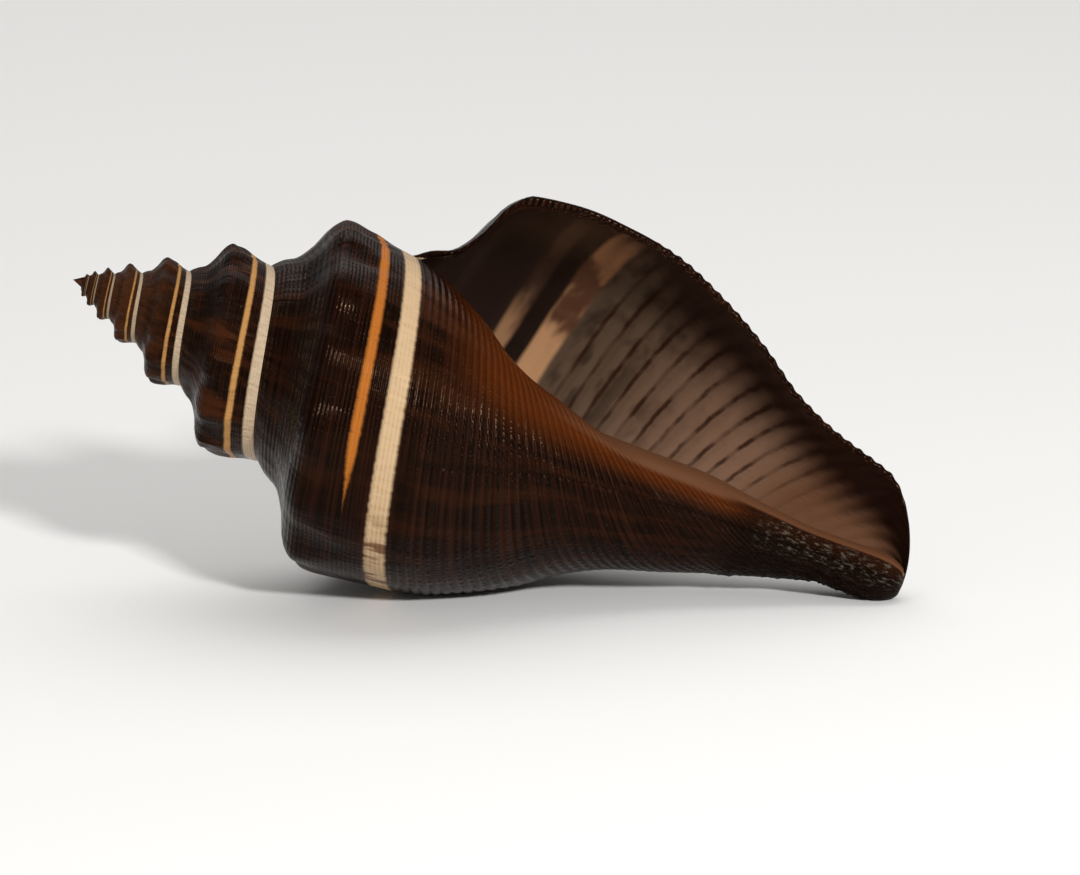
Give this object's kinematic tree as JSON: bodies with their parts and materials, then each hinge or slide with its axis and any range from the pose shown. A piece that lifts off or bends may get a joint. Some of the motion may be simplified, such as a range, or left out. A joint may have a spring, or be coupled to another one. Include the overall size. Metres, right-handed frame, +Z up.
{
  "type": "whelk shell",
  "caption": "Empty whelk sea shell lying on its side, a knobbed spiral cone with a wide open mouth that narrows into an open canal.",
  "frame": {"origin": "centre of the bounding box, on the surface the shell rests on", "axes": "+Z up, +X along the shell towards the end of its canal, the mouth faces -Y"},
  "size_m": [0.1046, 0.0484, 0.0494],
  "materials": {
    "shell": "glossy"
  },
  "bodies": {
    "root": {"shell": "shell"}
  },
  "joints": []
}
